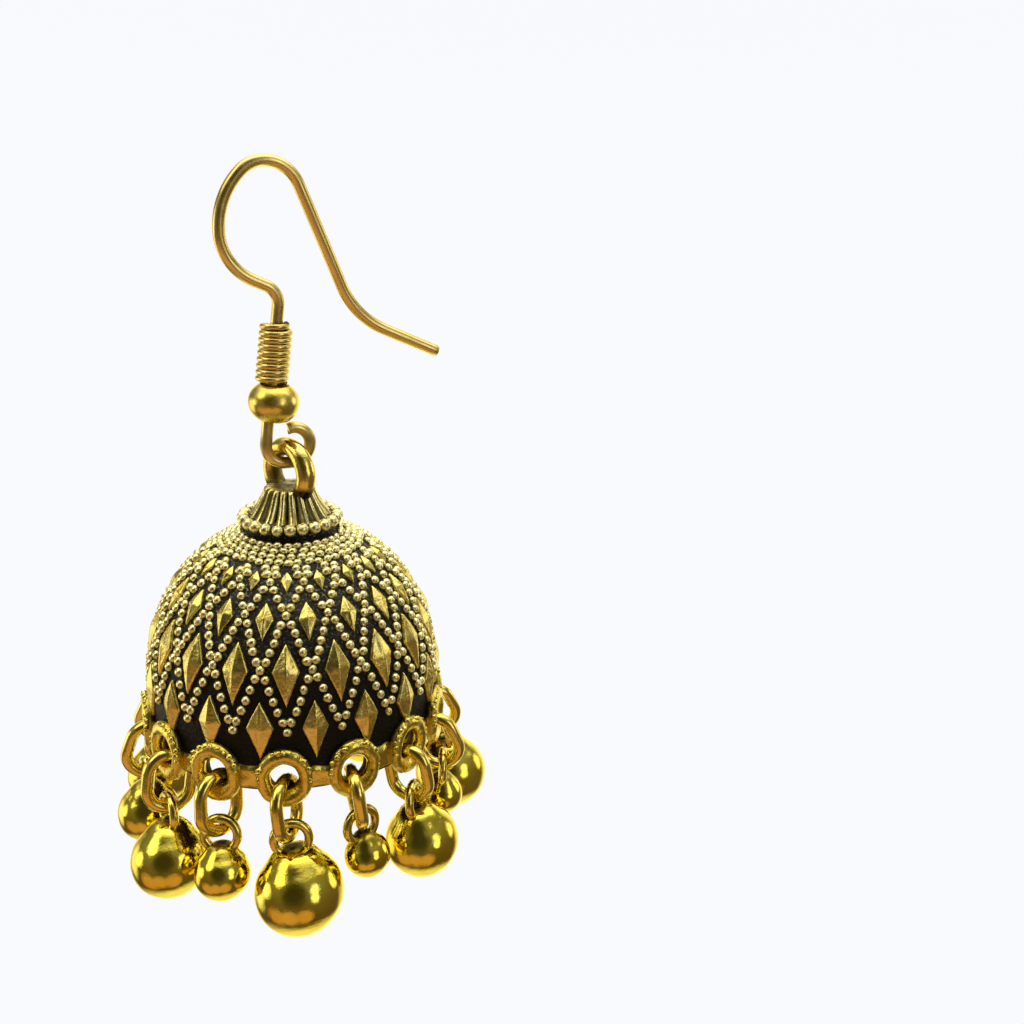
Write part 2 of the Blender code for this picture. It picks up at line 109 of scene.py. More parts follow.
# Heights in mm of the rows of the upright wall, outside going up and inside going down
OUTER_HEIGHTS = (0.5, 0.9, 1.5, 2.2, 3.0, 3.8)
INNER_HEIGHTS = (3.0, 2.2, 1.5, 0.8, 0.35)
INNER_EASE = 0.02 * MM
OUTER_STEPS = 30
INNER_STEPS = 24
SHELL_SIDES = 144
DRILL_SIDES = 24
DRILL_OUT = 1.5 * MM
DRILL_IN = 1.8 * MM
SKIN = 0.12 * MM
GREY_FROM = 6.0 * MM
GREY_RISE = 6.0 * MM
# Painted shade on the bell's inside darkens its gold
INNER_SHADE = 0.45
WALL_SAMPLES = 40
DOME_SAMPLES = 300

# Collar, fluted cap, beads under it and loop on it
NECK_RADIUS = 2.3 * MM
COLLAR_RADIUS = 2.75 * MM
COLLAR_BOTTOM = 13.8637 * MM
COLLAR_TOP = 14.2037 * MM
CAP_BASE = 14.0537 * MM
CAP_TOP = 15.9537 * MM
CAP_BASE_RADIUS = 2.62 * MM
CAP_TOP_RADIUS = 1.5 * MM
CAP_ROWS = 9
CAP_BULGE = 0.45
CAP_PROUD = 0.03 * MM
CAP_SINK = 0.05 * MM
# Rows of the cap's lid: width as a share, rise and darkness
CAP_LID = ((0.86, 0.07 * MM, 0.35), (0.5, 0.09 * MM, 0.7), (0.02, 0.1 * MM, 0.7))
FLUTES = 18
FLUTE_STEPS = 10
FLUTE_ROUND = 0.8
FLUTE_DEPTH = 0.22
FLUTE_TAPER = 0.25
GROOVE_DARK = 1.3
GROOVE_FADE = 1.75
FOOT_DARK = 0.35
FOOT_FADE = 2.2
PEARLS = 24
PEARL_RADIUS = 0.37 * MM
PEARL_CIRCLE = 2.86 * MM
PEARL_HEIGHT = 14.03 * MM
LOOP_RADIUS = 1.6 * MM
LOOP_WIRE = 1.1 * MM
LOOP_WIDEN = 1.08
LOOP_HEIGHT = 16.8437 * MM
LOOP_TURN = math.radians(66)

# Rows of diamonds from the rim up: height, width, length, rise and stagger
COLUMNS = 18
COLUMN_PHASE = math.radians(2.5)
ROW_D = (4.014 * MM, 1.58 * MM, 3.70 * MM, 0.35 * MM, 0.5)
ROW_C = (7.247 * MM, 1.58 * MM, 3.66 * MM, 0.35 * MM, 0.0)
ROW_B = (9.946 * MM, 1.09 * MM, 2.29 * MM, 0.28 * MM, 0.5)
ROW_A = (11.70 * MM, 0.70 * MM, 1.39 * MM, 0.22 * MM, 0.0)
DIAMOND_EDGE = 0.15 * MM
DIAMOND_SINK = 0.08 * MM
DIAMOND_CELLS = 9
# Softness of the ridges across and along, depth of the facets and height of the widest place, as shares
RIDGE_SOFT = (0.10, 0.16)
FACET_DEPTH = 0.13
DIAMOND_WAIST = 0.11
BEVEL = 0.05 * MM
BEVEL_START = 0.93
BEVEL_WIDTH = 0.055

# Granules: half sizes along the rim, up the dome and out of it, and how they lie at a crossing
GRAIN = (0.275 * MM, 0.29 * MM, 0.25 * MM)
GRAIN_ANGLES = (26, 52, 78, 104, 126)
GRAIN_SIDES = 12
GRAIN_LOOSE = 0.018 * MM
GRAIN_LUMP = 0.045
GRAIN_LIFT = 0.3
GRAIN_PAIR = 0.265 * MM
GRAIN_DROP = 0.49 * MM
CROSSING_RISE = 0.28 * MM
CLOSING_DROP = 0.02 * MM
SHOULDER_DROP = 0.5 * MM
SHOULDER_FLAT = 0.94
# The close field under the cap, and the two granules beside the tip of each uppermost diamond
FIELD_GRAIN = (0.285 * MM, 0.24 * MM, 0.22 * MM)
FIELD_LOOSE = 0.035 * MM
FIELD_START = 0.90 * MM
FIELD_PITCH = 0.575 * MM
FIELD_STRIDE = 0.445 * MM
FIELD_MARGIN = 0.1 * MM
TIP_ROOM = 0.3 * MM
TIP_GRAIN = (0.26 * MM, 0.24 * MM, 0.22 * MM)
TIP_COLUMNS = (0.31, 0.69)
TIP_RISE = 0.47 * MM

# Rim rings; a pair is a size at the ring's sides and what it gains above and below
RIM_RINGS = 14
RIM_PHASE = math.radians(-19.1)
RIM_RING_HOLE = 0.9 * MM
RIM_RING_WIRE = 0.7 * MM
RIM_RING_RADIUS = RIM_RING_HOLE + RIM_RING_WIRE / 2
RIM_RING_HEIGHT = 1.15 * MM
RIM_RING_PROUD = 0.17 * MM
OVAL_MIDDLE = (1.20 * MM, 0.17 * MM)
OVAL_HALF = (0.39 * MM, 0.13 * MM)
OVAL_DEPTH = 0.38 * MM
OVAL_FLARE = 0.10 * MM
OVAL_POWER = 1.5
OVAL_SIDES = 56
OVAL_WIRE_SIDES = 16
CREST_LUMPS = 15
CREST_ARC = 88
CREST_REACH = (1.46 * MM, 0.26 * MM)
CREST_SIZE = 0.17 * MM
CREST_FRONT = 0.17 * MM

# Band between two rim rings
BAND_END = 0.9 * MM
BAND_TOP = 1.75 * MM
BAND_FOOT = 0.22 * MM
BAND_SAG = 0.18 * MM
BAND_RAGGED = 0.22 * MM
BAND_LIFT = 0.15 * MM
BAND_COLUMNS = 25
BAND_ROWS = 13

# Jump rings and balls
LINK_WIRE = 0.7 * MM
LINK_SWELL = 0.03 * MM
LINK_LENGTH = 4.1 * MM
LINK_WIDTH = 3.2 * MM
LINK_SLACK = 0.18 * MM
LINK_END_STEPS = 22
BALL_RING_RADIUS = 1.025 * MM
BALL_RING_WIRE = 0.55 * MM
BALL_RING_SINK = 0.55 * MM
BALL_RING_SLACK = 0.1 * MM
BALL_SIDES = 56
BALL_ROWS = 41
BALL_POLE = 0.004
MOUND = 0.24 * MM
MOUND_REACH = 0.72

# One row a ball, from the front one towards +X: diameter in mm, then degrees of the jump ring's lean
# out and along the rim, the ball's lean out and along, and the turns of the jump ring and ball ring
DANGLES = (
    (5.3, 5, 5, 6, 7, -20, 6), (2.8, 3, 7, 3, 9, -12, 12), (4.7, 10, 4, 5, 9, 10, 22),
    (2.8, 24, 1, -2, 5, 4, 10), (5.0, 28, 3, 10, 1, -6, 8), (3.1, 8, 2, 4, 2, 8, -8),
    (4.9, 6, 0, 7, 0, 14, 6), (3.2, 8, 1, 8, 0, -10, 12), (4.9, 6, 0, 7, 0, 12, -8),
    (3.1, 8, -1, 4, -2, -12, 10), (4.3, 26, -3, 2, -6, 6, -10), (3.9, 19, -1, 0, -4, -8, 8),
    (4.7, 12, 3, 5, 6, -22, -10), (3.3, 8, 5, 8, 5, -20, 14))

# How far apart the dents of a piece lie, and how deep they are
DENTS = {
    "diamond": (0.5 * MM, 0.014 * MM), "cap": (0.7 * MM, 0.03 * MM), "pearl": (0.25 * MM, 0.03 * MM),
    "loop": (1.3 * MM, 0.03 * MM), "rim_ring": (0.6 * MM, 0.05 * MM), "crest": (0.15 * MM, 0.07 * MM),
    "band": (0.6 * MM, 0.06 * MM), "wire": (3.0 * MM, 0.02 * MM), "bead": (1.1 * MM, 0.02 * MM),
    "jump_ring": (1.6 * MM, 0.03 * MM), "ball": (0.9 * MM, 0.018 * MM)}

# Golds: light tone, warm tone, roughness, strength of the pits and scale of the grain
GOLDS = {
    "granule_gold": ((0.98, 0.93, 0.56), (0.92, 0.82, 0.40), 0.28, 0.8, 1500.0),
    "diamond_gold": ((0.94, 0.81, 0.27), (0.88, 0.68, 0.17), 0.24, 0.9, 1100.0),
    "rim_gold": ((0.92, 0.78, 0.18), (0.86, 0.66, 0.11), 0.2, 0.9, 1100.0),
    "cap_gold": ((0.95, 0.86, 0.42), (0.88, 0.72, 0.24), 0.17, 0.6, 1000.0),
    "loop_gold": ((0.92, 0.76, 0.22), (0.88, 0.66, 0.14), 0.17, 0.5, 900.0),
    # The inside's gold is dark as painted shade inside the bell
    "inner_gold_painted_shade": ((0.42, 0.30, 0.08), (0.20, 0.14, 0.05), 0.42, 0.8, 800.0),
    "hook_satin": ((0.90, 0.74, 0.30), (0.86, 0.65, 0.20), 0.27, 0.05, 400.0),
    "bead_gold": ((0.90, 0.75, 0.20), (0.86, 0.64, 0.12), 0.24, 0.4, 700.0),
    "polished_yellow": ((0.95, 0.82, 0.13), (0.86, 0.66, 0.07), 0.08, 0.4, 700.0),
    "jump_ring_gold": ((0.92, 0.78, 0.20), (0.88, 0.66, 0.12), 0.16, 0.4, 700.0),
}
# Black for recesses: oxide in the bell's hollows, and painted shade inside and under parts and where
# parts meet
OXIDE_AND_SHADE_BLACK = (0.014, 0.011, 0.008)
GROUND_BLACK = (0.006, 0.005, 0.003)
GROUND_GREY = (0.050, 0.043, 0.038)
SCRATCH_GREY = (0.34, 0.31, 0.25)

# Backdrop: (radius, height) in metres round the object, and its glow
BACKDROP = ((0.001, -0.12), (0.5, -0.12), (0.8, -0.09), (1.0, 0.0), (1.15, 0.18), (1.2, 0.48),
            (1.2, 1.2), (0.8, 1.7), (0.001, 1.9))
BACKDROP_GLOW = (0.938, 0.945, 0.985)
BACKDROP_STRENGTH = 0.99

# Camera: place, turn, tilt and roll in degrees, and lens
CAMERA_PLACE = Vector((-15.883, -63.760, 1.829)) * MM
CAMERA_TURN = -26
CAMERA_TILT = 90 - 18.45
CAMERA_ROLL = 2.02
CAMERA_LENS = 38.67
CAMERA_SENSOR = 36.0


# Materials

def node_tree(name):
    """Start a node material with one Principled shader."""
    material = bpy.data.materials.new(name)
    material.use_nodes = True
    tree = material.node_tree
    return material, tree, tree.nodes["Principled BSDF"]


def link(tree, source, target):
    """Join two sockets."""
    tree.links.new(source, target)


def spots(tree, scale, detail, low, high):
    """Noise in the object's own space, spread from 0 at low to 1 at high."""
    place = tree.nodes.new("ShaderNodeTexCoord")
    texture = tree.nodes.new("ShaderNodeTexNoise")
    texture.inputs["Scale"].default_value = scale
    texture.inputs["Detail"].default_value = detail
    link(tree, place.outputs["Object"], texture.inputs["Vector"])
    spread = tree.nodes.new("ShaderNodeMapRange")
    spread.inputs["From Min"].default_value = low
    spread.inputs["From Max"].default_value = high
    link(tree, texture.outputs["Fac"], spread.inputs["Value"])
    return spread.outputs["Result"]


def attribute(tree, name):
    """Read a number kept on the mesh's points."""
    reader = tree.nodes.new("ShaderNodeAttribute")
    reader.attribute_name = name
    return reader.outputs["Fac"]


def ramp(tree, factor, low, high):
    """Turn 0 to 1 into a number between low and high."""
    spread = tree.nodes.new("ShaderNodeMapRange")
    spread.inputs["To Min"].default_value = low
    spread.inputs["To Max"].default_value = high
    link(tree, factor, spread.inputs["Value"])
    return spread.outputs["Result"]


def math_node(tree, operation, first, second):
    """Add, multiply or otherwise join two numbers."""
    node = tree.nodes.new("ShaderNodeMath")
    node.operation = operation
    node.use_clamp = True
    for socket, value in zip(node.inputs, (first, second)):
        if isinstance(value, (int, float)):
            socket.default_value = value
        else:
            link(tree, value, socket)
    return node.outputs["Value"]


def mixed(tree, factor, first, second):
    """Mix two colours; each is a colour or a socket."""
    mix = tree.nodes.new("ShaderNodeMix")
    mix.data_type = "RGBA"
    link(tree, factor, mix.inputs["Factor"])
    for socket, colour in ((mix.inputs[6], first), (mix.inputs[7], second)):
        if isinstance(colour, tuple):
            socket.default_value = (*colour, 1.0)
        else:
            link(tree, colour, socket)
    return mix.outputs[2]


def bump(tree, shader, height, distance, strength):
    """Raise fine relief from a number."""
    node = tree.nodes.new("ShaderNodeBump")
    node.inputs["Strength"].default_value = strength
    node.inputs["Distance"].default_value = distance
    link(tree, height, node.inputs["Height"])
    link(tree, node.outputs["Normal"], shader.inputs["Normal"])


def gold(name):
    """Plated gold: its tone drifts between two, black lies in its recesses as oxide and as painted
    shade, with fine pits.
    """
    light, warm, rough, pit, scale = GOLDS[name]
    material, tree, shader = node_tree(name)
    shader.inputs["Metallic"].default_value = 1.0
    tone = spots(tree, scale, 4.0, 0.35, 0.65)
    clean = mixed(tree, tone, light, warm)
    oxide_and_shade_blotches = spots(tree, 2.2 * scale, 6.0, 0.25, 0.75)
    recess = attribute(tree, "recess")
    # Painted shade and oxide: the recess number, broken up in patches, mixes in black
    dark = math_node(tree, "MULTIPLY", recess, ramp(tree, oxide_and_shade_blotches, 0.75, 1.35))
    colour = mixed(tree, dark, clean, OXIDE_AND_SHADE_BLACK)
    link(tree, colour, shader.inputs["Base Color"])
    grain = spots(tree, 3.1 * scale, 3.0, 0.3, 0.7)
    polish = ramp(tree, grain, rough * 0.75, rough * 1.35)
    dull = math_node(tree, "MULTIPLY", dark, 0.45)
    link(tree, math_node(tree, "ADD", polish, dull), shader.inputs["Roughness"])
    bump(tree, shader, spots(tree, 4.5 * scale, 5.0, 0.2, 0.8), 0.02 * MM, pit)
    return material


def oxide():
    """The black ground under the granules, scratched and greyer towards the top."""
    material, tree, shader = node_tree("oxidised_ground")
    height = attribute(tree, "recess")
    speck = math_node(tree, "MULTIPLY", spots(tree, 6500.0, 5.0, 0.55, 0.70), height)
    cloud = math_node(tree, "MULTIPLY", spots(tree, 900.0, 4.0, 0.30, 0.70), height)
    black = mixed(tree, cloud, GROUND_BLACK, GROUND_GREY)
    link(tree, mixed(tree, speck, black, SCRATCH_GREY), shader.inputs["Base Color"])
    link(tree, ramp(tree, speck, 0.55, 0.35), shader.inputs["Roughness"])
    shader.inputs["Metallic"].default_value = 0.6
    bump(tree, shader, spots(tree, 4200.0, 6.0, 0.2, 0.8), 0.05 * MM, 0.9)
    return material


# Mesh code

class Shape:
    """Points and faces collected for one mesh, with a material's number and a recess for each."""

    def __init__(self):
        self.points, self.faces, self.kinds, self.recess, self.count = [], [], [], [], 0

    def add(self, points, faces, kind=0, recess=0.0):
        """Add points and the faces between them."""
        points = np.asarray(points, float).reshape(-1, 3)
        self.points.append(points)
        self.recess.append(np.broadcast_to(np.asarray(recess, float), (len(points),)))
        self.faces.extend(tuple(i + self.count for i in face) for face in faces)
        self.kinds.extend([kind] * len(faces))
        self.count += len(points)

    def make(self, name, materials, body, replaced=()):
        """Turn what was collected into an object that rides on a body."""
        mesh = bpy.data.meshes.new(name)
        mesh.from_pydata(np.concatenate(self.points).tolist(), [], self.faces)
        for material in materials:
            mesh.materials.append(material)
        mesh.polygons.foreach_set("material_index", self.kinds)
        layer = mesh.attributes.new("recess", "FLOAT", "POINT")
        layer.data.foreach_set("value", np.concatenate(self.recess).astype(np.float32))
        mesh.shade_smooth()
        thing = bpy.data.objects.new(name, mesh)
        bpy.context.scene.collection.objects.link(thing)
        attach(thing, body)
        if replaced:
            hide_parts(*replaced)
        return thing


def grid_faces(rows, columns, wrap_rows=False, wrap_columns=False, flip=False):
    """Quads of a grid of points kept row by row."""
    faces = []
    for i in range(rows if wrap_rows else rows - 1):
        for j in range(columns if wrap_columns else columns - 1):
            a, b = i * columns + j, i * columns + (j + 1) % columns
            c = (i + 1) % rows * columns
            face = (a, b, c + (j + 1) % columns, c + j)
            faces.append(face[::-1] if flip else face)
    return faces


def dented(points, piece):
    """Push points about by smooth noise, as hand work does."""
    points = np.asarray(points, float)
    size, amount = DENTS[piece]
    pushes = [[noise.noise(Vector(p) / size + shift) for shift in NOISE_SHIFTS] for p in points.tolist()]
    return points + amount * np.array(pushes)


def fade(value, start, width, most=1.0):
    """0 up to a start, then a slope that reaches 1 after a width, but never above most."""
    return np.clip((value - start) / width, 0, most)


def tube(path, radius, sides, closed=False):
    """A round wire along a path of points, with rounded ends unless it is closed."""
    path = np.asarray(path, float)
    if closed:
        tangents = np.roll(path, -1, 0) - np.roll(path, 1, 0)
        radii = np.full(len(path), radius)
    else:
        ahead = (path[1] - path[0]) / np.linalg.norm(path[1] - path[0]) * radius
        back = (path[-2] - path[-1]) / np.linalg.norm(path[-2] - path[-1]) * radius
        first = [path[0] + inward * ahead for inward, _ in WIRE_END]
        last = [path[-1] + inward * back for inward, _ in WIRE_END]
        path = np.concatenate((first, path[1:-1], last[::-1]))
        tangents = np.gradient(path, axis=0)
        radii = np.full(len(path), radius)
        for i, (_, share) in enumerate(WIRE_END):
            radii[i] = radii[-1 - i] = radius * share
    tangents /= np.linalg.norm(tangents, axis=1, keepdims=True)
    turn = np.linspace(0, TAU, sides, endpoint=False)[:, None]
    side = np.cross(tangents[0], SKEW)
    rings = []
    for centre, tangent, size in zip(path, tangents, radii):
        side = side - tangent * np.dot(side, tangent)
        side /= np.linalg.norm(side)
        other = np.cross(tangent, side)
        rings.append(centre + size * (np.cos(turn) * side + np.sin(turn) * other))
    faces = grid_faces(len(path), sides, wrap_rows=closed, wrap_columns=True)
    if not closed:
        faces.append(tuple(range(sides))[::-1])
        faces.append(tuple(range((len(path) - 1) * sides, len(path) * sides)))
    return np.concatenate(rings), faces


def lathe(profile, sides, closed=False):
    """Turn (radius, height) pairs round Z."""
    turn = np.linspace(0, TAU, sides, endpoint=False)
    rows = [np.stack((r * np.sin(turn), -r * np.cos(turn), np.full(sides, h)), 1) for r, h in profile]
    return np.concatenate(rows), grid_faces(len(profile), sides, wrap_rows=closed, wrap_columns=True)


def moved(points, matrix):
    """Points put through a matrix."""
    m = np.array(matrix)
    return np.asarray(points, float) @ m[:3, :3].T + m[:3, 3]


def bent_path(start, heading, bends):
    """Follow straights (length, 0) and arcs (radius, degrees) in the XZ plane."""
    points = [Vector(start)]
    for size, degrees in bends:
        turn = math.radians(degrees)
        steps = max(1, math.ceil(abs(turn) / BEND_STEP if turn else size / STRAIGHT_STEP))
        stride = 2 * size * math.sin(abs(turn) / steps / 2) if turn else size / steps
        for _ in range(steps):
            heading += turn / steps / 2
            points.append(points[-1] + stride * Vector((math.cos(heading), 0, math.sin(heading))))
            heading += turn / steps / 2
    return points


# The dome's outer side as a strip: radius, height and the distance along it from the rim's edge

def outer_radius(height):
    """Radius of the dome at a height."""
    if height <= WALL_HEIGHT:
        return DOME_RADIUS + (RIM_RADIUS - DOME_RADIUS) * (1 - height / WALL_HEIGHT)
    return DOME_RADIUS * math.sqrt(max(0.0, 1 - ((height - WALL_HEIGHT) / DOME_RISE) ** 2))


NECK_HEIGHT = WALL_HEIGHT + DOME_RISE * math.sqrt(1 - (NECK_RADIUS / DOME_RADIUS) ** 2)
STRIP_HEIGHTS = np.concatenate((
    np.linspace(0, WALL_HEIGHT, WALL_SAMPLES, endpoint=False),
    WALL_HEIGHT + DOME_RISE * np.sin(
        np.linspace(0, math.asin((NECK_HEIGHT - WALL_HEIGHT) / DOME_RISE), DOME_SAMPLES))))
STRIP_RADII = np.array([outer_radius(h) for h in STRIP_HEIGHTS])
STRIP = np.concatenate(([0], np.cumsum(np.hypot(np.diff(STRIP_HEIGHTS), np.diff(STRIP_RADII)))))
SLOPE_R, SLOPE_H = np.gradient(STRIP_RADII, STRIP), np.gradient(STRIP_HEIGHTS, STRIP)


def strip_at(height):
    """Distance along the dome from the rim to a height."""
    return float(np.interp(height, STRIP_HEIGHTS, STRIP))


def radius_at(along):
    """Radius of the dome at a distance along it."""
    return np.interp(along, STRIP, STRIP_RADII)


def on_dome(angle, along, lift):
    """Points at angles, distances up the dome and lifts off it."""
    radius = radius_at(along) + lift * np.interp(along, STRIP, SLOPE_H)
    height = np.interp(along, STRIP, STRIP_HEIGHTS) - lift * np.interp(along, STRIP, SLOPE_R)
    return np.stack((radius * np.sin(angle), -radius * np.cos(angle), height), -1)


def column_angle(column):
    """Angle of a column of diamonds."""
    return COLUMN_PHASE + TAU * column / COLUMNS


def add_diamonds(shape, kind):
    """Raised four-sided diamonds that follow the dome, with soft ridges and upright sides."""
    inner = np.linspace(-BEVEL_START, BEVEL_START, 2 * DIAMOND_CELLS + 1)
    bevel_end = BEVEL_START + BEVEL_WIDTH
    steps = np.concatenate(([-1.0, -bevel_end], inner, [bevel_end, 1.0]))
    s, t = np.meshgrid(steps, steps, indexing="ij")
    u, v = ((s + t) / 2).ravel(), ((s - t) / 2).ravel()
    edge = np.abs(u) + np.abs(v)
    across, along_soft = RIDGE_SOFT
    ridge = (np.sqrt(u * u + across ** 2) + np.sqrt(v * v + along_soft ** 2)) / (
        1 + 0.5 * (across + along_soft))
    facet = 4 * np.abs(u * v) / np.maximum(edge * edge, 1e-6)
    hollow = FACET_DEPTH * facet * edge * (1 - edge) * 4
    faces = grid_faces(len(steps), len(steps), flip=True)
    rim = edge > 0.999
    bevel = BEVEL * fade(edge, BEVEL_START, BEVEL_WIDTH)
    recess = np.where(rim, 1.0, 0.0)
    for height, width, length, rise, stagger in (ROW_D, ROW_C, ROW_B, ROW_A):
        middle = strip_at(height)
        for i in range(COLUMNS):
            centre = column_angle(i + stagger) + RANDOM.normal(0, 0.02 * width) / DOME_RADIUS
            w, l = width * RANDOM.uniform(0.97, 1.03), length * RANDOM.uniform(0.985, 1.015)
            along = middle + (v + DIAMOND_WAIST * (1 - v * v)) * l / 2
            angle = centre + u * w / 2 / radius_at(along)
            lift = DIAMOND_EDGE + rise * (1 - ridge - hollow) - bevel
            points = on_dome(angle, along, np.where(rim, -DIAMOND_SINK, lift))
            shape.add(dented(points, "diamond"), faces, kind, recess)


def grain_template():
    """Most of a small ball that stands on its ground; X and Y lie along the ground, Z is out."""
    rings = [(math.sin(a), math.cos(a)) for a in np.radians(GRAIN_ANGLES)]
    turn = np.linspace(0, TAU, GRAIN_SIDES, endpoint=False)
    points = [(0, 0, 1)]
    for r, h in rings:
        points += [(r * math.cos(a), r * math.sin(a), h) for a in turn]
    faces = [(0, 1 + j, 1 + (j + 1) % GRAIN_SIDES) for j in range(GRAIN_SIDES)]
    for start in range(1, 1 + (len(rings) - 1) * GRAIN_SIDES, GRAIN_SIDES):
        for j in range(GRAIN_SIDES):
            a, b = start + j, start + (j + 1) % GRAIN_SIDES
            faces.append((a, a + GRAIN_SIDES, b + GRAIN_SIDES, b))
    return np.array(points), faces


GRAIN_POINTS, GRAIN_FACES = grain_template()
# Oxide and painted shade darken each granule's lower part, round its foot
GRAIN_FOOT_OXIDE_AND_SHADE = fade(-GRAIN_POINTS[:, 2], 0.12, 1 / 2.2)


def add_grain(shape, kind, angle, along, size, loose=GRAIN_LOOSE):
    """One granule on the dome."""
    wide, tall, high = size
    lump = 1 + RANDOM.normal(0, GRAIN_LUMP, 3)
    turn = RANDOM.normal(0, 0.25)
    x = GRAIN_POINTS[:, 0] * wide * lump[0]
    y = GRAIN_POINTS[:, 1] * tall * lump[1]
    x, y = x * math.cos(turn) - y * math.sin(turn), x * math.sin(turn) + y * math.cos(turn)
    z = GRAIN_LIFT * high + GRAIN_POINTS[:, 2] * high * lump[2]
    along = along + y + RANDOM.normal(0, loose)
    radius = float(radius_at(float(np.mean(along))))
    points = on_dome(angle + (x + RANDOM.normal(0, loose)) / radius, along, z)
    shape.add(points, GRAIN_FACES, kind, GRAIN_FOOT_OXIDE_AND_SHADE)


def pair(column, height, side, drop):
    """Place of one of the two granules above (1) or below (-1) the middle one of a crossing."""
    along = strip_at(height)
    return (column_angle(column) + side * GRAIN_PAIR / radius_at(along), along + drop * GRAIN_DROP)


def run(start, end, count):
    """Places of granules between two others."""
    shares = [i / (count + 1) for i in range(1, count + 1)]
    return [tuple(a + share * (b - a) for a, b in zip(start, end)) for share in shares]


def add_lattice(shape, kind):
    """The strings of granules between the diamonds."""
    row_a, row_b, row_c = ROW_A[0], ROW_B[0] + CROSSING_RISE, ROW_C[0] + CROSSING_RISE
    places = []
    for i in range(COLUMNS):
        for column, height in ((i, row_b), (i + 0.5, row_c), (i + 0.5, row_a)):
            places.append((column_angle(column), strip_at(height)))
            places += [pair(column, height, side, drop) for side in (-1, 1) for drop in (-1, 1)]
        closing = (column_angle(i), strip_at(ROW_D[0] - CLOSING_DROP))
        places.append(closing)
        for side in (-1, 1):
            near = i + side * 0.5
            places += run(pair(i, row_b, side, -1), pair(near, row_c, -side, 1), 3)
            places += run(pair(near, row_a, -side, -1), pair(i, row_b, side, 1), 1)
            places += run(pair(near, row_c, -side, -1), closing, 4)
    shoulder = strip_at(row_b - SHOULDER_DROP)
    wide, tall, high = GRAIN
    for angle, along in places:
        flat = SHOULDER_FLAT if along > shoulder else 1.0
        add_grain(shape, kind, angle, along, (wide, tall * flat, high))


def add_field(shape, kind):
    """The close field of granules from the uppermost diamonds to the cap."""
    start = column_angle(0)
    row, along = 0, strip_at(ROW_A[0]) + FIELD_START
    while radius_at(along) >= COLLAR_RADIUS + FIELD_MARGIN:
        radius = float(radius_at(along))
        count = round(TAU * radius / FIELD_PITCH)
        for j in range(count):
            angle = start + TAU * (j + 0.5 * (row % 2)) / count
            column = (angle - start) / TAU * COLUMNS
            aside = abs(column - round(column)) * TAU / COLUMNS * radius
            if row > 0 or aside >= TIP_ROOM:
                add_grain(shape, kind, angle, along, FIELD_GRAIN, FIELD_LOOSE)
        row += 1
        along = strip_at(ROW_A[0]) + FIELD_START + row * FIELD_STRIDE
    for i in range(COLUMNS):
        for share in TIP_COLUMNS:
            along = strip_at(ROW_A[0]) + TIP_RISE
            add_grain(shape, kind, column_angle(i + share), along, TIP_GRAIN)


def rim_ring_matrix(index):
    """Matrix of a rim ring in the bell's frame: X along the rim, -Y straight out, Z up."""
    angle = RIM_PHASE + TAU * index / RIM_RINGS
    return Matrix.Rotation(angle, 4, "Z") @ Matrix.Translation(
        (0, -(RIM_RADIUS + RIM_RING_PROUD), RIM_RING_HEIGHT))


def outward(name, points, faces):
    """A mesh whose faces all look outward."""
    mesh = bpy.data.meshes.new(name)
    mesh.from_pydata(points.tolist(), [], faces)
    shape = bmesh.new()
    shape.from_mesh(mesh)
    bmesh.ops.recalc_face_normals(shape, faces=shape.faces)
    shape.to_mesh(mesh)
    shape.free()
    return mesh


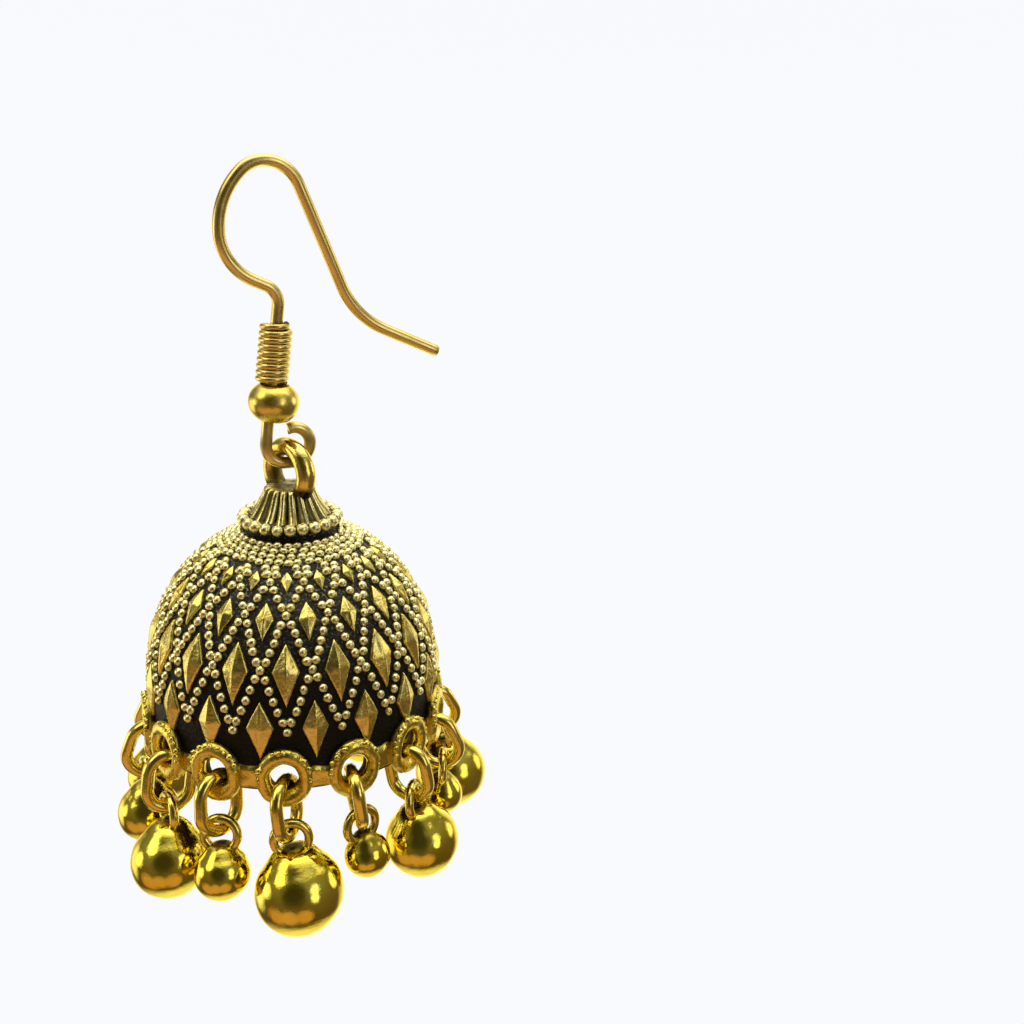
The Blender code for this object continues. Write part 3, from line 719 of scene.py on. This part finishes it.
def boolean_shell():
    """The hollow dome with its wall pierced behind each rim ring."""
    foot = outer_radius(RIM_FOOT)
    profile = [(foot - RIM_CHAMFER, RIM_FOOT), (foot, RIM_FOOT + RIM_CHAMFER)]
    profile += [(outer_radius(h * MM), h * MM) for h in OUTER_HEIGHTS]
    start = math.asin(NECK_RADIUS / DOME_RADIUS)
    for i in range(1, OUTER_STEPS + 1):
        a = math.pi / 2 - (math.pi / 2 - start) * i / OUTER_STEPS
        profile.append((DOME_RADIUS * math.sin(a), WALL_HEIGHT + DOME_RISE * math.cos(a)))
    profile += [(NECK_RADIUS, COLLAR_BOTTOM), (COLLAR_RADIUS, COLLAR_BOTTOM),
                (COLLAR_RADIUS, COLLAR_TOP), (CROWN_BORE, COLLAR_TOP),
                (CROWN_BORE, COLLAR_BOTTOM - BORE_DEPTH)]
    for i in range(INNER_STEPS + 1):
        a = BORE_ANGLE + (math.pi / 2 - BORE_ANGLE) * i / INNER_STEPS
        profile.append(((DOME_RADIUS - RIM_WALL) * math.sin(a),
                        WALL_HEIGHT + (DOME_RISE - CROWN_WALL) * math.cos(a)))
    profile += [(outer_radius(h * MM) - RIM_WALL - INNER_EASE, h * MM) for h in INNER_HEIGHTS]
    profile.append((RIM_RADIUS - RIM_WALL + RIM_CHAMFER, RIM_FOOT))
    points, faces = lathe(profile, SHELL_SIDES, closed=True)
    shell = bpy.data.objects.new("shell", outward("shell", points, faces))

    circle = ring_path(RIM_RING_HOLE, DRILL_SIDES)[:, ::-1]
    ends = np.concatenate((circle - (0, DRILL_OUT, 0), circle + (0, DRILL_IN, 0)))
    sides = grid_faces(2, DRILL_SIDES, wrap_columns=True)
    sides += [tuple(range(DRILL_SIDES))[::-1], tuple(range(DRILL_SIDES, 2 * DRILL_SIDES))]
    drill = Shape()
    for i in range(RIM_RINGS):
        drill.add(moved(ends, rim_ring_matrix(i)), sides)
    holes = bpy.data.objects.new("drill", outward("drill", np.concatenate(drill.points), drill.faces))
    for thing in (shell, holes):
        bpy.context.scene.collection.objects.link(thing)
    cut = shell.modifiers.new("holes", "BOOLEAN")
    cut.operation = "DIFFERENCE"
    cut.solver = "EXACT"
    cut.object = holes
    bpy.context.view_layer.update()
    done = shell.evaluated_get(bpy.context.evaluated_depsgraph_get()).to_mesh()
    points = np.array([v.co[:] for v in done.vertices])
    faces = [tuple(p.vertices) for p in done.polygons]
    for thing in (shell, holes):
        bpy.data.objects.remove(thing, do_unlink=True)
    return points, faces


def add_shell(shape, outside, inside):
    """Add the dome, its outside black and greyer towards the top, its inside gold darkened as painted
    shade.
    """
    points, faces = boolean_shell()
    radius = np.hypot(points[:, 0], points[:, 1])
    limit = np.array([outer_radius(min(max(h, 0), NECK_HEIGHT)) for h in points[:, 2]])
    out = (radius > limit - SKIN) | (points[:, 2] > NECK_HEIGHT)
    outer = [f for f in faces if all(out[i] for i in f)]
    inner = [f for f in faces if not all(out[i] for i in f)]
    base = shape.count
    tone = np.maximum(0.05, fade(points[:, 2], GREY_FROM, GREY_RISE))
    shape.add(points, outer, outside, np.where(out, tone, INNER_SHADE))
    shape.faces.extend(tuple(i + base for i in f) for f in inner)
    shape.kinds.extend([inside] * len(inner))


def add_cap(shape, kind):
    """The fluted cone, its flutes rounded and its grooves black."""
    sides = FLUTE_STEPS * FLUTES
    turn = np.linspace(0, TAU, sides, endpoint=False)
    lobe = np.abs(np.sin(turn * FLUTES / 2)) ** FLUTE_ROUND
    rows = []
    for i in range(CAP_ROWS):
        t = i / (CAP_ROWS - 1)
        radius = CAP_BASE_RADIUS + (CAP_TOP_RADIUS - CAP_BASE_RADIUS) * (t + CAP_BULGE * t * (1 - t))
        depth = FLUTE_DEPTH * radius * (1 - FLUTE_TAPER * t)
        dark = GROOVE_DARK - lobe * GROOVE_FADE + max(0.0, FOOT_DARK - FOOT_FADE * t)
        rows.append((radius + CAP_PROUD - depth * (1 - lobe),
                     CAP_BASE - CAP_SINK + (CAP_TOP - CAP_BASE) * t, np.clip(dark, 0, 1)))
    for shrink, rise, dark in CAP_LID:
        rows.append((CAP_TOP_RADIUS * shrink * (1 - 0.1 * (1 - lobe)), CAP_TOP + rise,
                     np.full(sides, dark)))
    points = [np.stack((r * np.sin(turn), -r * np.cos(turn), np.full(sides, h)), 1) for r, h, _ in rows]
    shape.add(dented(np.concatenate(points), "cap"), grid_faces(len(rows), sides, wrap_columns=True),
              kind, np.concatenate([dark for _, _, dark in rows]))


def add_pearls(shape, kind):
    """The ring of lumpy beads under the cap, with painted shade on their undersides."""
    ball = np.concatenate((GRAIN_POINTS, GRAIN_POINTS * (1, 1, -1)))
    both = GRAIN_FACES + [tuple(j + len(GRAIN_POINTS) for j in f)[::-1] for f in GRAIN_FACES]
    for i in range(PEARLS):
        lump = PEARL_RADIUS * (1 + RANDOM.normal(0, 0.04, 3))
        place = Matrix.Rotation(TAU * i / PEARLS + RANDOM.normal(0, 0.006), 4, "Z") @ Matrix.Translation(
            (0, -PEARL_CIRCLE, PEARL_HEIGHT + RANDOM.normal(0, 0.02 * MM))) @ Matrix.Rotation(
            math.pi / 2, 4, "X")
        points = moved(ball * lump, place)
        # Painted shade darkens the underside of each bead
        under = fade(PEARL_HEIGHT - points[:, 2], 0.12 * MM, 0.3 * MM, 0.8)
        shape.add(dented(points, "pearl"), both, kind, under)


def ring_path(radius, count):
    """A circle that faces outward: its axis is Y."""
    turn = np.linspace(0, TAU, count, endpoint=False)
    return np.stack((radius * np.sin(turn), np.zeros(count), radius * np.cos(turn)), 1)


def add_loop(shape, kind):
    """The thick loop on the cap, with painted shade inside and at its foot."""
    points, faces = tube(ring_path(LOOP_RADIUS, 72), LOOP_WIRE / 2, 24, closed=True)
    points = points * (1, LOOP_WIDEN, 1)
    # Painted shade on the loop's inner side
    inner = fade(LOOP_RADIUS - np.hypot(points[:, 0], points[:, 2]), 0.3 * MM, 0.2 * MM, 0.7)
    place = Matrix.Translation((0, 0, LOOP_HEIGHT)) @ Matrix.Rotation(-LOOP_TURN, 4, "Z")
    points = moved(points, place)
    # Painted shade at the loop's foot, where it meets the cap
    foot = fade(CAP_TOP + 0.1 * MM - points[:, 2], -0.3 * MM, 0.35 * MM, 0.85)
    shape.add(dented(points, "loop"), faces, kind, np.maximum(inner, foot))


def heavier(sizes, angle):
    """A size at an angle round a rim ring, which gains above and below."""
    side, gain = sizes
    return side + gain * abs(math.cos(angle)) ** OVAL_POWER


def rim_ring():
    """An oval ring, thick above and below, its hole flared to the front, with painted shade on its back.
    """
    points, recess = [], []
    for a in np.linspace(0, TAU, OVAL_SIDES, endpoint=False):
        middle, half = heavier(OVAL_MIDDLE, a), heavier(OVAL_HALF, a)
        for b in np.linspace(0, TAU, OVAL_WIRE_SIDES, endpoint=False):
            out = math.cos(b)
            depth = OVAL_DEPTH * math.sin(b) + OVAL_FLARE * max(0.0, -out)
            reach = middle + half * out
            points.append((reach * math.sin(a), depth, reach * math.cos(a)))
            # Painted shade on the ring's back, against the wall; darker also round its outer edge
            recess.append(0.75 if depth > 0.2 * MM else 1.75 * max(0.0, out - 0.8))
    faces = grid_faces(OVAL_SIDES, OVAL_WIRE_SIDES, wrap_rows=True, wrap_columns=True)
    return np.array(points), faces, recess


def add_rim_rings(shape, kind):
    """Fourteen cast rings on the rim, each with a rough crest of small lumps."""
    ring, faces, recess = rim_ring()
    for i in range(RIM_RINGS):
        place = rim_ring_matrix(i)
        shape.add(dented(moved(ring, place), "rim_ring"), faces, kind, recess)
        for j in range(CREST_LUMPS):
            share = 2 * j / (CREST_LUMPS - 1) - 1
            turn = math.radians(CREST_ARC * share) + RANDOM.normal(0, 0.05)
            reach = heavier(CREST_REACH, turn) + RANDOM.normal(0, 0.05 * MM)
            size = CREST_SIZE * (1 + RANDOM.normal(0, 0.22))
            front = CREST_FRONT - RANDOM.normal(0, 0.03 * MM)
            spot = place @ Matrix.Translation(
                (reach * math.sin(turn), -front, reach * math.cos(turn))) @ Matrix.Rotation(
                math.pi / 2, 4, "X")
            lump = dented(moved(GRAIN_POINTS * size, spot), "crest")
            shape.add(lump, GRAIN_FACES, kind, GRAIN_FOOT_OXIDE_AND_SHADE)


def add_band(shape, kind):
    """The band between the rim rings, ragged above and sagging in its middle."""
    pitch = TAU / RIM_RINGS
    half = pitch / 2 - BAND_END / RIM_RADIUS
    faces = grid_faces(BAND_ROWS, BAND_COLUMNS)
    for i in range(RIM_RINGS):
        centre = RIM_PHASE + pitch * (i + 0.5)
        top = BAND_TOP + RANDOM.normal(0, 0.08 * MM)
        points, recess = [], []
        for v in np.linspace(0, 1, BAND_ROWS):
            for u in np.linspace(-1, 1, BAND_COLUMNS):
                low = BAND_FOOT + BAND_SAG * (1 - u * u)
                ragged = BAND_RAGGED * noise.noise(Vector((1.7 * u + 5 * i, 0.3, 0.7)))
                along = low + (top + ragged - low) * v
                lift = BAND_LIFT * min(1.0, (1 - v) * 5, 0.5 + v * 6)
                points.append(on_dome(centre + u * half, along, lift))
                recess.append(0.7 if v in (0.0, 1.0) else 0.0)
        shape.add(dented(points, "band"), faces, kind, recess)


def build_bell():
    """The whole bell in one piece."""
    materials = (oxide(), gold("inner_gold_painted_shade"), gold("diamond_gold"), gold("granule_gold"),
                 gold("cap_gold"), gold("loop_gold"), gold("rim_gold"))
    ground, inside, facet, granule, cap, loop, rim = range(len(materials))
    shape = Shape()
    add_shell(shape, ground, inside)
    add_diamonds(shape, facet)
    add_lattice(shape, granule)
    add_field(shape, granule)
    add_cap(shape, cap)
    add_pearls(shape, granule)
    add_loop(shape, loop)
    add_rim_rings(shape, rim)
    add_band(shape, rim)
    shape.points = [points + np.array(BELL) for points in shape.points]
    shape.make("bell_dressed", materials, "bell_drop", ["bell"])


def build_hook():
    """The ear wire, its bead and its coil."""
    satin, bright = gold("hook_satin"), gold("bead_gold")
    half = EYE_FLAT / 2
    path = bent_path((half, 0, 0), 0, EYE_BENDS)[::-1] + bent_path((-half, 0, 0), math.pi, TAIL_BENDS)
    points, faces = tube([p + Vector((0, 0, EYE_HEIGHT)) for p in path], WIRE / 2, WIRE_SIDES)
    height = points[:, 2]
    # Painted shade on the wire under the bead
    under = fade(-height, -UNDER_BEAD_SHADE_TOP, 0.7 * MM) * fade(height, UNDER_BEAD_SHADE_FOOT, 0.8 * MM)
    wire = Shape()
    wire.add(dented(points, "wire"), faces, 0, UNDER_BEAD_SHADE * under)
    wire.make("hook_wire_dressed", [satin], "hook", ["hook_wire"])

    lean = Matrix.Rotation(SHANK_LEAN, 4, "Y")
    reach = math.acos(BEAD_HOLE / BEAD_RADIUS)
    profile = [(BEAD_RADIUS * math.cos(a), BEAD_HALF * math.sin(a))
               for a in np.linspace(-reach, reach, BEAD_STEPS)]
    top = profile[-1][1]
    lip = [(BEAD_HOLE - inward, top - down) for inward, down in BEAD_LIP]
    points, faces = lathe(profile + lip + [(r, -h) for r, h in lip[::-1]], BEAD_SIDES, closed=True)
    # Painted shade round both ends of the bead's hole, where the wire passes
    ends = fade(np.abs(points[:, 2]), 1.1 * MM, 0.3 * MM, 0.4)
    place = Matrix.Translation(BEAD_CENTRE) @ lean
    bead = Shape()
    bead.add(dented(moved(points, place), "bead"), faces, 0, ends)
    bead.make("hook_bead_dressed", [bright], "hook", ["hook_bead"])

    helix = []
    for i in range(COIL_TURNS * COIL_STEPS + 1):
        turns = i / COIL_STEPS
        curl = max(0.0, turns - COIL_TURNS + CURL_TURNS)
        reach = COIL_CIRCLE - CURL_IN * min(1.0, CURL_RATE * curl) ** CURL_POWER
        helix.append((reach * math.cos(TAU * turns), reach * math.sin(TAU * turns),
                      COIL_SHIFT + COIL_PITCH * turns + CURL_UP * curl))
    points, faces = tube(helix, COIL_WIRE / 2 + COIL_SWELL, 12)
    # Painted shade on the inside of the coil, against the shank
    inside = fade(COIL_CIRCLE - np.hypot(points[:, 0], points[:, 1]), 0, 0.1 * MM, 0.8)
    coil = Shape()
    coil.add(moved(points, Matrix.Translation(COIL_START) @ lean), faces, 0, inside)
    coil.make("hook_coil_dressed", [satin], "hook", ["hook_coil"])


def stadium(length, width):
    """Centre line of a jump ring in the YZ plane, its top at the origin."""
    end = width / 2
    points = []
    for centre, start in ((-end, 0.0), (end - length, math.pi)):
        for i in range(LINK_END_STEPS + 1):
            angle = start + math.pi * i / LINK_END_STEPS
            points.append((0, end * math.cos(angle), centre + end * math.sin(angle)))
    return points


def leaning(out, along):
    """Matrix of a piece that leans out from the rim and along it, by angles in degrees."""
    return Matrix.Rotation(-math.radians(out), 4, "X") @ Matrix.Rotation(-math.radians(along), 4, "Y")


def ball_profile(radius, top):
    """Half a round ball whose top is drawn up into a low mound under its ring."""
    profile = []
    for a in np.linspace(BALL_POLE, math.pi - BALL_POLE, BALL_ROWS):
        r, h = radius * math.sin(a), top - radius - radius * math.cos(a)
        share = min(1.0, r / (MOUND_REACH * radius))
        if a > math.pi / 2:
            h += (top + MOUND - h) * (1 - (share * share * (3 - 2 * share)) ** 2)
        profile.append((r, h))
    return profile


def build_dangles():
    """A jump ring and a ball with its ring from each rim ring."""
    polished, ring_gold = gold("polished_yellow"), gold("jump_ring_gold")
    inset = (RIM_RING_PROUD + RIM_WALL - RIM_RING_WIRE / 2) / 2
    seat = Matrix.Translation((0, inset, -RIM_RING_RADIUS))
    link_top = RIM_RING_WIRE / 2 + LINK_SLACK + LINK_WIRE / 2
    joint = link_top - (LINK_LENGTH - LINK_WIRE) + LINK_WIRE / 2 + BALL_RING_SLACK + (
        BALL_RING_WIRE / 2)
    ball_top = -2 * BALL_RING_RADIUS - BALL_RING_WIRE / 2 + BALL_RING_SINK
    for index, (size, link_out, link_along, out, along, link_turn, turn) in enumerate(DANGLES):
        hang = Matrix.Translation(BELL) @ rim_ring_matrix(index) @ seat
        lean = leaning(link_out, link_along)
        place = hang @ lean @ Matrix.Translation((0, 0, link_top)) @ (
            Matrix.Rotation(math.radians(link_turn), 4, "Z"))
        points, faces = tube(stadium(LINK_LENGTH - LINK_WIRE, LINK_WIDTH - LINK_WIRE),
                             LINK_WIRE / 2 + LINK_SWELL, 16, closed=True)
        jump = Shape()
        jump.add(dented(moved(points, place), "jump_ring"), faces)
        jump.make(f"jump_ring_{index:02d}", [ring_gold], "bell_drop",
                  [f"link_{index:02d}"])

        place = hang @ Matrix.Translation(lean @ Vector((0, 0, joint))) @ leaning(out, along) @ (
            Matrix.Rotation(math.radians(turn), 4, "Z"))
        points, faces = lathe(ball_profile(size * MM / 2, ball_top), BALL_SIDES)
        # Painted shade on the ball round the foot of its ring
        below = np.maximum(0, ball_top - 0.4 * MM - points[:, 2])
        near = np.hypot(points[:, 0], points[:, 1]) + 2.0 * below
        ball = Shape()
        ball.add(dented(moved(points, place), "ball"), faces, 0, fade(-near, -0.9 * MM, 0.75 * MM, 0.9))
        points, faces = tube(ring_path(BALL_RING_RADIUS, 40), BALL_RING_WIRE / 2, 12, closed=True)
        points[:, 2] -= BALL_RING_RADIUS
        # Painted shade on the ball ring where it sinks into the ball
        foot = fade(ball_top - points[:, 2], -0.12 * MM, 0.25 * MM, 0.8)
        ball.add(moved(points, place), faces, 1, foot)
        ball.make(f"ball_dressed_{index:02d}", [polished, ring_gold], "bell_drop",
                  [f"ball_{index:02d}"])


def build_stage():
    """A pale floor that rises all round into a backdrop."""
    material, _, shader = node_tree("pale_backdrop")
    shader.inputs["Base Color"].default_value = (0.02, 0.02, 0.02, 1.0)
    shader.inputs["Roughness"].default_value = 1.0
    shader.inputs["Specular IOR Level"].default_value = 0.0
    shader.inputs["Emission Color"].default_value = (*BACKDROP_GLOW, 1.0)
    shader.inputs["Emission Strength"].default_value = BACKDROP_STRENGTH
    points, faces = lathe(BACKDROP, 64)
    mesh = bpy.data.meshes.new("backdrop")
    mesh.from_pydata(points.tolist(), [], [f[::-1] for f in faces])
    mesh.materials.append(material)
    mesh.shade_smooth()
    backdrop = bpy.data.objects.new("backdrop", mesh)
    bpy.context.scene.collection.objects.link(backdrop)
    backdrop.visible_glossy = False
    backdrop.visible_shadow = False
    backdrop.visible_diffuse = False


def build_camera():
    """The photograph's view: from the front and a little from the left, looking down."""
    data = bpy.data.cameras.new("camera")
    data.lens = CAMERA_LENS
    data.sensor_width = CAMERA_SENSOR
    data.clip_start = 0.001
    data.clip_end = 10.0
    camera = bpy.data.objects.new("camera", data)
    camera.matrix_world = (
        Matrix.Translation(CAMERA_PLACE)
        @ Matrix.Rotation(math.radians(CAMERA_TURN), 4, "Z")
        @ Matrix.Rotation(math.radians(CAMERA_TILT), 4, "X")
        @ Matrix.Rotation(math.radians(CAMERA_ROLL), 4, "Z"))
    bpy.context.scene.collection.objects.link(camera)
    bpy.context.scene.camera = camera


# Studio light: soft boxes seen from the object, each a direction, the angles in degrees where it is
# full and where it ends, its colour, and whether it is laid over the room or added to it
SOFT_BOXES = (
    ((0.416, 0.853, -0.316), 24, 60, (1.15, 1.08, 0.72), "ADD"),
    ((-0.44, -0.78, 0.44), 14, 44, (0.045, 0.04, 0.02), "MIX"),
    ((0.1, 0.25, 1.0), 16, 52, (1.65, 1.62, 1.45), "ADD"),
    ((-0.73, 0.0, 0.68), 8, 20, (1.9, 1.8, 1.2), "ADD"),
    ((-0.95, 0.30, 0.03), 6, 17, (1.5, 1.45, 1.2), "ADD"),
    ((-0.74, 0.62, -0.26), 10, 26, (1.2, 1.15, 0.85), "ADD"),
    ((0.42, -0.87, 0.16), 7, 14, (1.4, 1.4, 1.3), "MIX"),
    ((0.46, -0.76, 0.44), 8, 15, (1.4, 1.4, 1.3), "MIX"),
    ((0.67, 0.09, 0.73), 7, 22, (1.0, 0.98, 0.85), "ADD"),
    ((0.98, 0.02, 0.10), 8, 17, (1.4, 1.35, 1.2), "ADD"),
    ((0.10, 0.15, -0.98), 14, 42, (0.95, 0.86, 0.58), "ADD"),
    ((-0.76, -0.20, -0.58), 9, 25, (0.60, 0.33, 0.16), "MIX"),
    ((-0.53, -0.63, -0.57), 9, 25, (0.60, 0.33, 0.16), "MIX"),
    ((-0.05, -0.83, -0.55), 9, 25, (0.60, 0.33, 0.16), "MIX"),
)
# The room from its floor to its ceiling
ROOM = ((0.0, (0.09, 0.06, 0.03)), (0.45, (0.15, 0.11, 0.06)), (0.6, (0.18, 0.16, 0.10)),
        (1.0, (0.34, 0.33, 0.28)))


def build_light():
    """A dim warm room with the soft boxes in it."""
    world = bpy.data.worlds.new("studio")
    bpy.context.scene.world = world
    world.use_nodes = True
    tree = world.node_tree
    background = tree.nodes["Background"]
    place = tree.nodes.new("ShaderNodeTexCoord")
    split = tree.nodes.new("ShaderNodeSeparateXYZ")
    link(tree, place.outputs["Generated"], split.inputs["Vector"])
    rise = tree.nodes.new("ShaderNodeMapRange")
    rise.inputs["From Min"].default_value = -1.0
    link(tree, split.outputs["Z"], rise.inputs["Value"])
    room = tree.nodes.new("ShaderNodeValToRGB")
    stops = room.color_ramp.elements
    while len(stops) < len(ROOM):
        stops.new(0.5)
    for stop, (height, colour) in zip(stops, ROOM):
        stop.position = height
        stop.color = (*colour, 1.0)
    link(tree, rise.outputs["Result"], room.inputs["Fac"])
    total = room.outputs["Color"]
    for direction, full, end, colour, way in SOFT_BOXES:
        dot = tree.nodes.new("ShaderNodeVectorMath")
        dot.operation = "DOT_PRODUCT"
        dot.inputs[1].default_value = Vector(direction).normalized()
        link(tree, place.outputs["Generated"], dot.inputs[0])
        edge = tree.nodes.new("ShaderNodeMapRange")
        edge.interpolation_type = "SMOOTHSTEP"
        edge.inputs["From Min"].default_value = math.cos(math.radians(end))
        edge.inputs["From Max"].default_value = math.cos(math.radians(full))
        link(tree, dot.outputs["Value"], edge.inputs["Value"])
        box = tree.nodes.new("ShaderNodeMix")
        box.data_type = "RGBA"
        box.blend_type = way
        link(tree, edge.outputs["Result"], box.inputs["Factor"])
        link(tree, total, box.inputs[6])
        box.inputs[7].default_value = (*colour, 1.0)
        total = box.outputs[2]
    link(tree, total, background.inputs["Color"])
    bpy.context.scene.view_settings.view_transform = "Standard"


build_camera()
build_light()
build_stage()
build_bell()
build_hook()
build_dangles()
